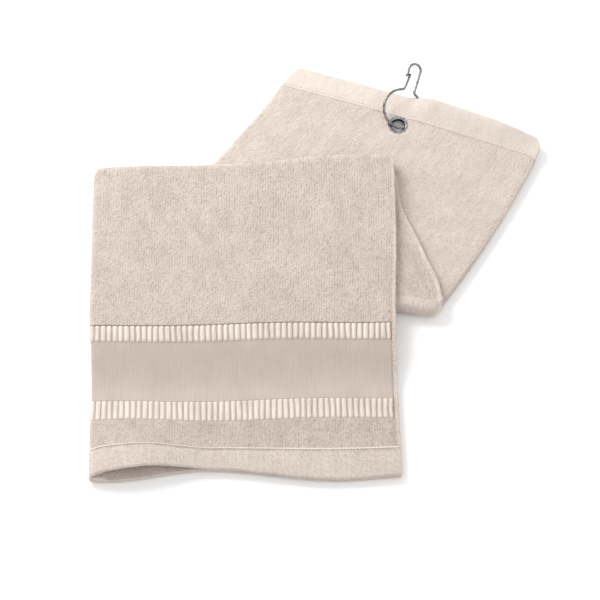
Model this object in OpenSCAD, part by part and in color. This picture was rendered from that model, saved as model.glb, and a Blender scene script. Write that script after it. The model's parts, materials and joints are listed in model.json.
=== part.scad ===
// Golf towel, folded once along its length and then in three across it,
// with an eyelet and a sprung wire clip in its top hem.
// Millimetres, +Z up. It lies on z = 0. X runs across the front panel, and
// -Y is the towel's bottom hem. The origin is the middle of the outline's box.

/* [Towel] */
// Width of the cloth before it is folded in half lengthwise
towel_w = 400; // [330:2:480]
// Length of the front panel, from the upper fold to the bottom hem's edge
front_len = 223; // [200:1:280]
// Length of the middle panel between the two folds
middle_len = 96; // [80:1:116]
// Length of the back panel, from the lower fold to the top hem's edge
back_len = 170; // [140:1:210]
// Thickness of one layer of cloth
layer_t = 2.4; // [2:0.1:3]
// Gap between the two layers of a panel
layer_gap = 0.2; // [0.1:0.05:0.4]
// Gap between two panels that lie on each other
panel_gap = 0.3; // [0.3:0.05:0.6]

/* [Folds] */
// Lean of the middle panel to the left, from straight up the front panel
middle_lean = 13; // [8:1:18]
// Lean of the back panel to the right, from straight up the front panel
back_lean = 34.5; // [28:0.5:40]
// Slope of the upper fold across the front panel
upper_fold_turn = 2; // [0:0.5:5]
// Slope of the top hem, down to the right
top_hem_turn = 22; // [14:1:30]
// How much narrower the top hem is drawn in than the cloth
top_gather = 20; // [0:1:30]
// Length over which the front panel comes down from the stack to the table
drop_run = 45; // [36:1:50]

/* [Hems and border] */
// Depth of the top hem, which grows if the eyelet needs more
top_hem = 23; // [22:0.5:28]
// Depth of the bottom hem
bottom_hem = 17.5; // [12:0.5:22]
// Width of the side hems along the two free edges
side_hem_w = 3; // [2:0.5:5]
// Height of the strip of pile between the bottom hem and the border
strip_h = 21; // [14:1:26]
// Height of each row of ribs
rib_row_h = 12.5; // [9:0.5:15]
// Height of the smooth band between the rows of ribs
band_h = 42; // [34:1:50]
// Distance from one rib to the next
rib_pitch = 3.8; // [3:0.1:6]
// Width of one rib
rib_w = 2.4; // [1.6:0.1:2.8]
// How far the ribs stand up from the border's ground
rib_h = 0.9; // [0.5:0.1:1.2]
// How far the border's ground lies below the top of the pile
border_sink = 1.1; // [0.8:0.1:1.4]
// Distance from one stitch to the next
stitch_pitch = 3; // [2.5:0.1:5]
// Length of one stitch
stitch_l = 2.2; // [1.5:0.1:2.4]
// Width of the sewing thread
thread_w = 0.5; // [0.3:0.05:0.8]
// How far a stitch stands up from the hem
thread_h = 0.25; // [0.15:0.05:0.4]

/* [Eyelet] */
// Distance of the eyelet's centre from the top hem's edge
eyelet_depth = 15.5; // [14.5:0.5:16.5]
// Distance of the eyelet from the hem's middle, towards the lengthwise fold
eyelet_shift = 6; // [0:0.5:12]
// Radius of the eyelet's throat
throat_r = 4.4; // [4.4:0.1:5.2]
// Height of the crimped eyelet
eyelet_h = 2; // [1.8:0.1:2]
// Thickness of the eyelet's sheet metal
sheet_t = 0.3; // [0.25:0.05:0.35]
// Width of the eyelet's flange outside its rounded lip
flange_w = 1.6; // [1.2:0.1:2]

/* [Clip] */
// Radius of the clip's ring, to the middle of the wire
ring_r = 13.5; // [13:0.1:16.2]
// How far the ring's far side lies past the eyelet's centre
ring_past = 1.2; // [0.6:0.1:1.2]
// Radius of the wire
wire_r = 0.75; // [0.6:0.05:0.85]
// How far the loop's top stands past the ring, wire middles
neck_h = 19; // [16:0.5:24]
// Half the distance between the two legs at the neck, wire middles
neck_half = 3.65; // [3.2:0.05:4.4]
// Radius of the loop's round top, wire middle
loop_r = 4.2; // [3.9:0.1:5]
// Shift of the neck and the loop to the right of the ring's middle
neck_shift = 1.2; // [0:0.1:1.5]
// Radius of the bends between the ring and the neck, wire middle
shoulder_r = 2.5; // [2:0.1:3]
// Direction of the clip from the eyelet, from the X axis
clip_heading = 73; // [70:1:90]
// How far the clip's loop is lifted off the table, or more if the ring needs it
clip_pitch = 18; // [18:0.5:24]
// How far the clip is rolled, with its left side up
clip_roll = 24; // [24:0.5:25]
// Gap between the wire and the cloth that it passes
wire_gap = 0.35; // [0.3:0.05:0.5]

/* [Hidden] */
$fn = 48;

pile_colour = [0.88, 0.82, 0.77];
middle_colour = [0.84, 0.78, 0.72];
hem_colour = [0.91, 0.86, 0.81];
band_colour = [0.85, 0.78, 0.73];
rib_colour = [0.95, 0.91, 0.87];
thread_colour = [0.93, 0.89, 0.84];
steel_colour = [0.72, 0.72, 0.74];

// Heights: each panel is two layers, and the three panels lie on each other.
panel_t = 2 * layer_t + layer_gap;
upper_z = layer_t + layer_gap;
middle_z = panel_t + panel_gap;
front_z = 2 * middle_z;
// A panel ends this short of the fold line that it turns about.
fold_gap = 0.2;
over = 1;

// Plan, with the middle of the bottom hem's edge at the plan's zero.
half_w = towel_w / 2 / 2;
middle_dir = 90 + middle_lean;
back_dir = 90 - back_lean;
function along(a) = [cos(a), sin(a)];
// Where the line through p along d meets the line through q along e.
function meet(p, d, q, e) = p + d * cross(q - p, e) / cross(d, e);

upper_fold_mid = [0, front_len];
upper_fold_dir = along(upper_fold_turn);
upper_fold_l = upper_fold_mid - half_w * upper_fold_dir / cos(upper_fold_turn);
upper_fold_r = upper_fold_mid + half_w * upper_fold_dir / cos(upper_fold_turn);

// A fold turns the cloth's direction over like a mirror, so it lies halfway.
lower_fold_turn = (back_dir - 180 + middle_dir) / 2;
lower_fold_dir = along(lower_fold_turn);
lower_fold_mid = upper_fold_mid - middle_len * along(middle_dir);
lower_fold_half = half_w / cos(lower_fold_turn - back_dir + 90);
lower_fold_l = lower_fold_mid - lower_fold_half * lower_fold_dir;
lower_fold_r = lower_fold_mid + lower_fold_half * lower_fold_dir;

// The eyelet's flange stays inside the hem's inner line.
lip_r = eyelet_h / 2;
lip_at = throat_r + lip_r;
flange_r = lip_at + flange_w;
hem_past_flange = 0.5;
hem_depth = max(top_hem, eyelet_depth + flange_r + hem_past_flange);
hem_dir = along(-top_hem_turn);
hem_in = along(-top_hem_turn - 90);
hem_half = half_w - top_gather / 2;
hem_mid = lower_fold_mid + back_len * along(back_dir);
hem_l = hem_mid - hem_half * hem_dir;
hem_r = hem_mid + hem_half * hem_dir;
back_edge_l = hem_l - lower_fold_l;
back_edge_r = hem_r - lower_fold_r;
hem_line = hem_mid + hem_depth * hem_in;
hem_inner_l = meet(hem_l, back_edge_l, hem_line, hem_dir);
hem_inner_r = meet(hem_r, back_edge_r, hem_line, hem_dir);

// The front panel comes down just past the lower fold under its right edge.
drop_gap = 1.5;
drop_top = lower_fold_mid[1] + (half_w - lower_fold_mid[0]) * tan(lower_fold_turn) - drop_gap;
drop_bottom = drop_top - drop_run;
// Underside of the front panel at a distance y from the bottom hem's edge.
function drop_z(y) = front_z * max(0, min(1, (y - drop_bottom) / drop_run));

strip_y = bottom_hem;
lower_ribs_y = strip_y + strip_h;
band_y = lower_ribs_y + rib_row_h;
upper_ribs_y = band_y + band_h;
pile_y = upper_ribs_y + rib_row_h;
border_z = panel_t - border_sink;
// The two layers are one cloth, joined by this much at the lengthwise fold.
spine_w = layer_t;
rib_room = 2 * half_w - spine_w - side_hem_w;
rib_count = floor((rib_room - rib_w) / rib_pitch) + 1;
rib_start = -half_w + spine_w + (rib_room - (rib_count - 1) * rib_pitch - rib_w) / 2;
// Flat ground left above and below the ribs.
rib_end = 0.6;
// A row of stitches runs this far inside a hem's own edge.
stitch_in = 1;

// The eyelet's top lies level with the pile, and the hem is crimped inside it.
eyelet_at = hem_mid + eyelet_depth * hem_in - eyelet_shift * hem_dir;
eyelet_z = panel_t - sheet_t - lip_r;
crimp_low = eyelet_z - lip_r + 2 * sheet_t;
crimp_high = eyelet_z + lip_r - sheet_t;
roll_w = 0.3;
// Room that the crimped hem leaves around the flange.
crimp_room = 1;
crimp_r = flange_r + crimp_room;

// The ring stays above the table: a large ring or thin cloth lifts the loop
// more. The least lift is where the ring's lowest point just clears the table,
// and its sine is the root of lift_a * x * x + lift_b * x + lift_c = 0.
table_gap = 0.06;
ring_out = ring_r - ring_past;
ring_drop = eyelet_z - wire_r - table_gap;
lift_a = pow(ring_out, 2) - pow(ring_r * cos(clip_roll), 2);
lift_b = 2 * ring_drop * ring_out;
lift_c = pow(ring_drop, 2) - pow(ring_r * sin(clip_roll), 2);
lift_root = sqrt(pow(lift_b, 2) - 4 * lift_a * lift_c);
clip_lift = max(clip_pitch, asin(-2 * lift_c / (lift_b + lift_root)));

// Clip, in its own plane: the ring's middle at zero and the loop up along +Y.
clip_len = 2 * ring_r + neck_h;
neck_r = neck_shift + neck_half;
neck_l = neck_shift - neck_half;
shoulder_reach = ring_r + shoulder_r;
shoulder_r_at = [neck_r + shoulder_r, sqrt(pow(shoulder_reach, 2) - pow(neck_r + shoulder_r, 2))];
shoulder_l_at = [neck_l - shoulder_r, sqrt(pow(shoulder_reach, 2) - pow(neck_l - shoulder_r, 2))];
shoulder_r_turn = atan2(shoulder_r_at[1], shoulder_r_at[0]);
shoulder_l_turn = atan2(shoulder_l_at[1], shoulder_l_at[0]);
loop_at = [neck_shift, clip_len - ring_r - loop_r];
// Right leg: the normal of the straight wire that runs from bend to loop.
leg_span = loop_at - shoulder_r_at;
leg_turn = atan2(leg_span[1], leg_span[0]) - acos(-(shoulder_r + loop_r) / norm(leg_span));
leg_low = shoulder_r_at - shoulder_r * along(leg_turn);
leg_high = loop_at + loop_r * along(leg_turn);
// Free end of the loop: it runs straight down and then bends out to a catch.
catch_drop = 4;
catch_y = loop_at[1] - catch_drop;
catch_r = 1.6;
catch_turn = 65;
// The gate's tip rests against the inside of the loop's free end.
gate_gap = 0.35;
gate_lap = 0.4;
gate_tip = [loop_at[0] - loop_r + 2 * wire_r + gate_gap, catch_y + gate_lap];
gate_span = gate_tip - shoulder_l_at;
gate_turn = atan2(gate_span[1], gate_span[0]) - acos(shoulder_r / norm(gate_span));
gate_low = shoulder_l_at + shoulder_r * along(gate_turn);
gate_root_gap = 0.35;
gate_root_turn = gate_root_gap / ring_r * 180 / PI;
trim = 0.06;
collar_l = 0.3;

clip_top_y = eyelet_at[1] + (clip_len - ring_past) * cos(clip_lift) * sin(clip_heading) + wire_r;
box_mid = [(hem_r[0] - half_w) / 2, max(hem_l[1], clip_top_y) / 2];

// Puts plan coordinates where the origin is the middle of the outline's box.
module placed() {
  translate([-box_mid[0], -box_mid[1], 0]) children();
}

module slab(points, low, high) {
  translate([0, 0, low]) linear_extrude(high - low) polygon(points);
}

// A panel's two layers, from the height low up, joined along the edge a to d.
// Points go left, right, right, left, and b and c are its free edge.
module folded_slab(a, b, c, d, low) {
  difference() {
    slab([a, b, c, d], low, low + panel_t);
    slab([
      inset(a, b, spine_w), b + over * (b - a) / norm(b - a) + over * (b - c) / norm(b - c),
      c + over * (c - d) / norm(c - d) + over * (c - b) / norm(c - b), inset(d, c, spine_w)
    ] + slit_ends(a, d), low + layer_t, low + upper_z);
  }
}
// The point at a distance w from p towards q.
function inset(p, q, w) = p + w * (q - p) / norm(q - p);
// Carries the slit out through both ends of a panel's joined edge.
function slit_ends(a, d) = let(e = over * (d - a) / norm(d - a)) [-e, [0, 0], [0, 0], e];

// Two strips of side hem, one on each layer, along the edge b to c.
module side_hems(a, b, c, d, low) {
  strip = [inset(b, a, side_hem_w), b, c, inset(c, d, side_hem_w)];
  slab(strip, low, low + layer_t);
  slab(strip, low + upper_z, low + panel_t);
}

// A row of stitches from p to q, on a flat surface at height z.
module stitches(p, q, z) {
  count = floor((norm(q - p) - stitch_l) / stitch_pitch) + 1;
  start = (norm(q - p) - (count - 1) * stitch_pitch - stitch_l) / 2;
  translate([p[0], p[1], z])
    rotate([0, 0, atan2(q[1] - p[1], q[0] - p[0])])
      for (i = [0:count - 1])
        translate([start + i * stitch_pitch, -thread_w / 2, 0])
          cube([stitch_l, thread_w, thread_h]);
}

// A strip of the front panel from x0 to x1 and y0 to y1, which follows the
// panel down from the stack, between two heights above its underside.
module front_strip(x0, x1, y0, y1, low, high) {
  bends = [for (y = [drop_bottom, drop_top]) if (y > y0 && y < y1) y];
  ys = concat([y0], bends, [y1]);
  n = len(ys);
  translate([x0, 0, 0])
    rotate([90, 0, 90])
      linear_extrude(x1 - x0)
        polygon(concat(
          [for (y = ys) [y, drop_z(y) + low]],
          [for (i = [n - 1:-1:0]) [ys[i], drop_z(ys[i]) + high]]
        ));
}

// Fold lines moved in by the gap at which panels end.
middle_low = fold_gap * along(lower_fold_turn + 90);
back_a = meet(lower_fold_l, back_edge_l, lower_fold_mid + middle_low, lower_fold_dir);
back_b = meet(lower_fold_r, back_edge_r, lower_fold_mid + middle_low, lower_fold_dir);
middle_edge_l = upper_fold_l - lower_fold_l;
middle_edge_r = upper_fold_r - lower_fold_r;
middle_high = upper_fold_mid - fold_gap * along(upper_fold_turn + 90);
middle_a = meet(lower_fold_l, middle_edge_l, lower_fold_mid + middle_low, lower_fold_dir);
middle_b = meet(lower_fold_r, middle_edge_r, lower_fold_mid + middle_low, lower_fold_dir);
middle_c = meet(upper_fold_r, middle_edge_r, middle_high, upper_fold_dir);
middle_d = meet(upper_fold_l, middle_edge_l, middle_high, upper_fold_dir);
front_plan = [
  [-half_w - over, -over], [half_w + over, -over],
  meet([half_w + over, 0], [0, 1], middle_high, upper_fold_dir),
  meet([-half_w - over, 0], [0, 1], middle_high, upper_fold_dir)
];
front_end = max(upper_fold_l[1], upper_fold_r[1]);

module below_upper_fold() {
  intersection() {
    children();
    slab(front_plan, -over, front_z + panel_t + over);
  }
}

// Moves the clip's own plane to where it hangs through the eyelet.
module clip_place() {
  placed()
    translate([eyelet_at[0], eyelet_at[1], eyelet_z])
      rotate([0, 0, clip_heading - 90])
        rotate([clip_lift, 0, 0])
          rotate([0, clip_roll, 0])
            translate([0, ring_r - ring_past, 0])
              children();
}

// A bend of wire about a centre, from one angle to another. It ends a trim
// short at both ends, where a bead of wire closes the joint.
module bend(centre, radius, from, to) {
  cut = trim / radius * 180 / PI;
  translate([centre[0], centre[1], 0])
    rotate([0, 0, from + cut])
      rotate_extrude(angle = to - from - 2 * cut)
        translate([radius, 0])
          circle(wire_r);
}

// A straight length of wire from p to q, which ends a trim short of both.
module rod(p, q) {
  translate([p[0], p[1], 0])
    rotate([0, 0, atan2(q[1] - p[1], q[0] - p[0])])
      translate([trim, 0, 0])
        rotate([0, 90, 0])
          cylinder(r = wire_r, h = norm(q - p) - 2 * trim);
}

module bead(p) {
  translate([p[0], p[1], 0]) sphere(wire_r + trim / 2);
}

// Closes the joint between the ring and its shoulder, at an angle on the ring.
module collar(turn) {
  rotate([90, 0, turn])
    translate([ring_r, 0, -collar_l / 2])
      cylinder(r = wire_r + trim, h = collar_l);
}

module eyelet_hole() {
  translate([eyelet_at[0], eyelet_at[1], 0]) {
    translate([0, 0, -over]) cylinder(r = lip_at, h = panel_t + 2 * over);
    translate([0, 0, -over]) cylinder(r = crimp_r, h = crimp_low + over);
    translate([0, 0, crimp_high]) cylinder(r = crimp_r, h = panel_t);
  }
}

module back_cloth() {
  color(pile_colour)
    placed()
      folded_slab(back_a, inset(back_b, back_a, side_hem_w),
                  inset(hem_inner_r, hem_inner_l, side_hem_w), hem_inner_l, 0);
}

module back_side_hem() {
  color(hem_colour)
    placed()
      side_hems(back_a, back_b, hem_inner_r, hem_inner_l, 0);
}

module back_side_thread() {
  inner = side_hem_w - stitch_in;
  color(thread_colour)
    placed()
      stitches(inset(back_b, back_a, inner), inset(hem_inner_r, hem_inner_l, inner), panel_t);
}

module top_hem_band() {
  color(hem_colour)
    difference() {
      placed()
        difference() {
          folded_slab(hem_inner_l, hem_inner_r, hem_r, hem_l, 0);
          eyelet_hole();
        }
      // The ring's right side lies in a channel under the hem.
      clip_place() rotate_extrude() translate([ring_r, 0]) circle(wire_r + wire_gap);
    }
}

module top_hem_thread() {
  step = stitch_in * hem_in;
  color(thread_colour)
    placed()
      stitches(inset(hem_inner_l, hem_inner_r, spine_w) - step, hem_inner_r - step, panel_t);
}

module eyelet() {
  color(steel_colour)
    placed()
      translate([eyelet_at[0], eyelet_at[1], eyelet_z])
        rotate_extrude()
          difference() {
            union() {
              intersection() {
                translate([lip_at, 0]) circle(lip_r);
                translate([throat_r, -lip_r]) square([lip_r, eyelet_h]);
              }
              translate([lip_at, lip_r - sheet_t]) square([flange_w, sheet_t]);
              translate([lip_at, -lip_r]) square([roll_w, sheet_t]);
            }
            translate([lip_at, 0]) circle(lip_r - sheet_t);
          }
}

module eyelet_washer() {
  color(steel_colour)
    placed()
      translate([eyelet_at[0], eyelet_at[1], crimp_low - sheet_t])
        difference() {
          cylinder(r = flange_r, h = sheet_t);
          translate([0, 0, -over]) cylinder(r = lip_at, h = sheet_t + 2 * over);
        }
}

module middle_cloth() {
  color(middle_colour)
    placed()
      folded_slab(middle_a, inset(middle_b, middle_a, side_hem_w),
                  inset(middle_c, middle_d, side_hem_w), middle_d, middle_z);
}

module middle_side_hem() {
  color(hem_colour)
    placed()
      side_hems(middle_a, middle_b, middle_c, middle_d, middle_z);
}

module middle_side_thread() {
  inner = side_hem_w - stitch_in;
  color(thread_colour)
    placed()
      stitches(inset(middle_b, middle_a, inner), inset(middle_c, middle_d, inner),
               middle_z + panel_t);
}

module front_cloth() {
  inner = half_w - side_hem_w;
  color(pile_colour)
    placed()
      below_upper_fold()
        union() {
          front_strip(-half_w, inner, bottom_hem, front_end, 0, layer_t);
          front_strip(-half_w, -half_w + spine_w, bottom_hem, front_end, 0, panel_t);
          front_strip(-half_w, inner, pile_y, front_end, upper_z, panel_t);
        }
}

module front_side_hem() {
  inner = half_w - side_hem_w;
  color(hem_colour)
    placed()
      below_upper_fold()
        union() {
          front_strip(inner, half_w, bottom_hem, front_end, 0, layer_t);
          front_strip(inner, half_w, bottom_hem, front_end, upper_z, panel_t);
        }
}

module front_side_thread() {
  x = half_w - side_hem_w + stitch_in;
  count = floor((upper_fold_r[1] - bottom_hem) / stitch_pitch) - 1;
  color(thread_colour)
    placed()
      for (i = [0:count - 1])
        let(y = bottom_hem + (i + 0.5) * stitch_pitch)
          front_strip(x, x + thread_w, y, y + stitch_l, panel_t, panel_t + thread_h);
}

// A row of raised ribs on flat ground, from y up the front panel.
module rib_row(y) {
  color(rib_colour)
    placed()
      union() {
        front_strip(-half_w + spine_w, half_w - side_hem_w, y, y + rib_row_h, upper_z, border_z);
        for (i = [0:rib_count - 1])
          let(x = rib_start + i * rib_pitch)
            front_strip(x, x + rib_w, y + rib_end, y + rib_row_h - rib_end,
                        border_z, border_z + rib_h);
      }
}

module upper_rib_row() {
  rib_row(upper_ribs_y);
}

module lower_rib_row() {
  rib_row(lower_ribs_y);
}

module border_band() {
  color(band_colour)
    placed()
      front_strip(-half_w + spine_w, half_w - side_hem_w, band_y, upper_ribs_y, upper_z, border_z);
}

module border_strip() {
  color(pile_colour)
    placed()
      front_strip(-half_w + spine_w, half_w - side_hem_w, strip_y, lower_ribs_y, upper_z, panel_t);
}

module bottom_hem_band() {
  color(hem_colour)
    placed()
      folded_slab([-half_w, 0], [half_w, 0], [half_w, bottom_hem], [-half_w, bottom_hem], 0);
}

module bottom_hem_thread() {
  y = bottom_hem - stitch_in;
  color(thread_colour)
    placed()
      stitches([-half_w + spine_w, y], [half_w, y], panel_t);
}

module clip_wire() {
  loop_end = [loop_at[0] - loop_r, loop_at[1]];
  catch_at = [loop_end[0], catch_y];
  color(steel_colour)
    clip_place()
      union() {
        bend([0, 0], ring_r, shoulder_l_turn + gate_root_turn, 360 + shoulder_r_turn);
        bend(shoulder_r_at, shoulder_r, 180 + leg_turn, 180 + shoulder_r_turn);
        rod(leg_low, leg_high);
        bend(loop_at, loop_r, leg_turn, 180);
        rod(catch_at, loop_end);
        bend(catch_at - [catch_r, 0], catch_r, -catch_turn, 0);
        collar(shoulder_r_turn);
        for (p = [leg_low, leg_high, loop_end, catch_at]) bead(p);
      }
}

module clip_gate() {
  color(steel_colour)
    clip_place()
      union() {
        bend(shoulder_l_at, shoulder_r, shoulder_l_turn - 180, gate_turn);
        rod(gate_low, gate_tip);
        bead(gate_low);
      }
}

back_cloth();
back_side_hem();
back_side_thread();
top_hem_band();
top_hem_thread();
eyelet();
eyelet_washer();
middle_cloth();
middle_side_hem();
middle_side_thread();
front_cloth();
front_side_hem();
front_side_thread();
upper_rib_row();
border_band();
lower_rib_row();
border_strip();
bottom_hem_band();
bottom_hem_thread();
clip_wire();
clip_gate();
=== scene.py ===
import json
import math

import bpy
import numpy as np
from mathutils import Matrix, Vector, noise


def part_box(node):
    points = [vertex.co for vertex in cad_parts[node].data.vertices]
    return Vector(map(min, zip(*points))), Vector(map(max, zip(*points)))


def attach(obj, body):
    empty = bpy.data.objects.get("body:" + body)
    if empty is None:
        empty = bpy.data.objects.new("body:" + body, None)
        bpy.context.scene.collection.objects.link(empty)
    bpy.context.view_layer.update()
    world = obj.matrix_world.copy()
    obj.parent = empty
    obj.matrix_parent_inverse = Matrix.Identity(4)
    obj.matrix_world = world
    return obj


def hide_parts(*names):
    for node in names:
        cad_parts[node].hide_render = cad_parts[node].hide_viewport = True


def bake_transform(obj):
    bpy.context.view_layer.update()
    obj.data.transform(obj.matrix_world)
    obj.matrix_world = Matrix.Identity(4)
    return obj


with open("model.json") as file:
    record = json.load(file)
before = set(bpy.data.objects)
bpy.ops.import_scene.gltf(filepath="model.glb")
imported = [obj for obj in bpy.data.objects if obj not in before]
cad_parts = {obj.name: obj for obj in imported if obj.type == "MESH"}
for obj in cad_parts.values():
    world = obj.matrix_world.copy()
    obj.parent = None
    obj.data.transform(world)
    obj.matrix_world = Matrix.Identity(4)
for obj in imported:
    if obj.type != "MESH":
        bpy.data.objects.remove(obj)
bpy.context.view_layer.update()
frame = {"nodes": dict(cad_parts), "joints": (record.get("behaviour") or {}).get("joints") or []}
bpy.ops.object.select_all(action="DESELECT")

# Everything is in metres. The towel lies on z = 0 and its bottom hem is at -Y.
MM = 0.001

# Cloth
LAYER = 2.4 * MM
LAYER_GAP = 0.2 * MM
PANEL = 2 * LAYER + LAYER_GAP
HALF_GAP = (LAYER + LAYER_GAP) / 2
SIDE_HEM = 3 * MM
FOLDED_W = 200 * MM
BOTTOM_HEM = 17.5 * MM
STRIP = 19.5 * MM
LOWER_ROW = 15 * MM
UPPER_ROW = 11.8 * MM
BAND = 40.6 * MM
TOP_HEM = 16.5 * MM
RIB_PITCH = 3.8 * MM
RIB_W = 2.85 * MM

joints = {j["name"]: j for j in frame["joints"]}


def corner(node, direction):
    """The plan position of a CAD node's vertex that lies furthest along a direction."""
    mesh = frame["nodes"][node].data
    best = max(mesh.vertices, key=lambda v: v.co.dot(Vector(direction)))
    return np.array(best.co[:2])


def fold_line(name, sign):
    """A fold's middle, its direction to the right, and its height."""
    pos, axis = joints[name]["pos_m"], joints[name]["axis"]
    return np.array(pos[:2]), sign * np.array(axis[:2]), pos[2]


# --- Where each panel lies ---------------------------------------------------

upper_mid, upper_dir, upper_z = fold_line("upper_fold", -1)
lower_mid, lower_dir, lower_z = fold_line("lower_fold", 1)
# Directions that point away from the panels, past each fold.
upper_out = np.array([-upper_dir[1], upper_dir[0]])
lower_out = np.array([lower_dir[1], -lower_dir[0]])

LEFT, HEM_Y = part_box("bottom_hem_band")[0][:2]
fold_left = corner("back_cloth", (-lower_dir[0], -lower_dir[1], 0))
fold_right = corner("back_side_hem", (0, -1, 0))
top_left = corner("top_hem_band", (0, 1, 0))
top_right = corner("top_hem_band", (1, 0, 0))

# Each fold turns round a cylinder of this radius, to the middle of the panel.
FOLD_R = lower_z - PANEL / 2
FOLD_IN = FOLD_R + PANEL / 2
FOLD_ARC = math.pi * FOLD_R

# The upper fold lies this much past its hinge, because the cloth is springy.
FOLD_EASE = 3 * MM

# Distance along the towel from the bottom hem's edge, at the ends of each part.
FRONT_END = upper_mid[1] - HEM_Y - FOLD_IN
MIDDLE_START = FRONT_END + FOLD_ARC
MIDDLE_LEN = float(np.linalg.norm(upper_mid - lower_mid)) - 2 * FOLD_IN
MIDDLE_END = MIDDLE_START + MIDDLE_LEN
BACK_START = MIDDLE_END + FOLD_ARC
BACK_LEN = float(np.linalg.norm((top_left + top_right) / 2 - lower_mid)) - FOLD_IN
TOWEL_LEN = BACK_START + BACK_LEN
BORDER_END = BOTTOM_HEM + STRIP + LOWER_ROW + BAND + UPPER_ROW
# The two main sheets meet here, on the middle panel.
SEAM = MIDDLE_START + 0.96 * MIDDLE_LEN


def ease(t):
    t = np.clip(t, 0, 1)
    return t * t * (3 - 2 * t)


def round_end(x, radius_left, radius_right):
    """How far a panel's end is drawn in, so that its two corners are rounded."""
    near = np.clip(1 - x / radius_left, 0, 1)
    far = np.clip(1 - (FOLDED_W - x) / radius_right, 0, 1)
    left = radius_left * (1 - np.sqrt(1 - near ** 2))
    right = radius_right * (1 - np.sqrt(1 - far ** 2))
    return left + right


EYELET = np.array([sum(c) / 2 for c in zip(*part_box("eyelet"))])
FLAT_ROUND_EYELET = 30 * MM


def waves(x, y):
    """Slow ups and downs that all the panels share, so that they stay clear of
    each other. The cloth stays flat round the eyelet, which doesn't move."""
    height = (
        0.42 * np.sin(31 * x + 17 * y + 0.4)
        + 0.30 * np.sin(-23 * x + 47 * y + 1.9)
        + 0.22 * np.sin(71 * x + 9 * y + 4.1)
        + 0.16 * np.sin(52 * x - 83 * y + 2.2)
    )
    near = np.exp(-((x - EYELET[0]) ** 2 + (y - EYELET[1]) ** 2) / FLAT_ROUND_EYELET ** 2)
    return (height + 1.1) * 0.55 * MM * (1 - near)


# The front panel comes down from the stack to the table between these.
DROP_TOP = BORDER_END
DROP_RUN = 46 * MM
FRONT_Z = 2 * lower_z + 0.3 * MM + PANEL / 2


def front_height(y):
    """Height of the middle of the front panel at a distance y from its hem."""
    stack = FRONT_Z - PANEL / 2
    return PANEL / 2 + stack * ease((y - DROP_TOP + DROP_RUN) / DROP_RUN)


MOUTH_H = 8 * MM
MOUTH_AT = 30 * MM
MOUTH_END = 80 * MM
MOUTH_DEEP = 62 * MM
MOUTH_BACK = 4.5 * MM


def mouth(x, y):
    """How open the two layers are at the left end of the bottom hem, from 0 to 1."""
    rise = np.sqrt(np.clip(1 - (1 - np.clip(x / MOUTH_AT, 0, 1)) ** 2, 0, 1))
    fall = 1 - ease((x - MOUTH_AT) / (MOUTH_END - MOUTH_AT))
    return rise * fall * (1 - ease(y / MOUTH_DEEP)) ** 1.3


def bump_at(x, middle, width):
    return np.exp(-((x - middle) / width) ** 2)


# The bottom hem's edge winds in and out between these: distance from the
# lengthwise fold, and how far the edge lies in from a straight line there.
HEM_TURNS = ((0, -3.4), (14, -3.8), (74, 2.6), (160, -6), (208, -3.6))


def hem_edge(x):
    """How far in the bottom hem's edge lies from a straight line."""
    out = np.full(np.shape(x), float(HEM_TURNS[0][1]))
    for (x0, in0), (x1, in1) in zip(HEM_TURNS, HEM_TURNS[1:]):
        out += (in1 - in0) * ease((x / MM - x0) / (x1 - x0))
    return out * MM


def on_upper_layer(x, w):
    """From 0 on the lower layer to 1 on the upper, gradually at their fold."""
    half = np.maximum(0.1 * MM, HALF_GAP * (1 - np.clip(x / (14 * MM), 0, 1)))
    return ease(0.5 + w / (2 * half))


# The back panel's left edge lies in by this at the hem, and by more below it.
LEFT_IN = 2.5 * MM
LEFT_IN_LOWER = 4 * MM
# How far the free edge of the back panel bows out.
BACK_BOW = 4.2 * MM
# The hem wave of the border, and the dip in the front panel near its middle.
BORDER_WAVE = 0.75 * MM
BORDER_DIP = 2.4 * MM

# The ring of the clip lifts the top hem where it passes below it.
HEM_LIFT = 7.5 * MM
HEM_BULGE = 5.5 * MM
LIFT_DEEP = 19 * MM


def hem_rise(t, v):
    """Share of the top hem's lift, across the hem and down from its edge."""
    sides = ease((t - 0.43) / 0.13) * (1 - 0.75 * ease((t - 0.8) / 0.2))
    return sides * (1 - ease((TOWEL_LEN - v) / LIFT_DEEP))


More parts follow.
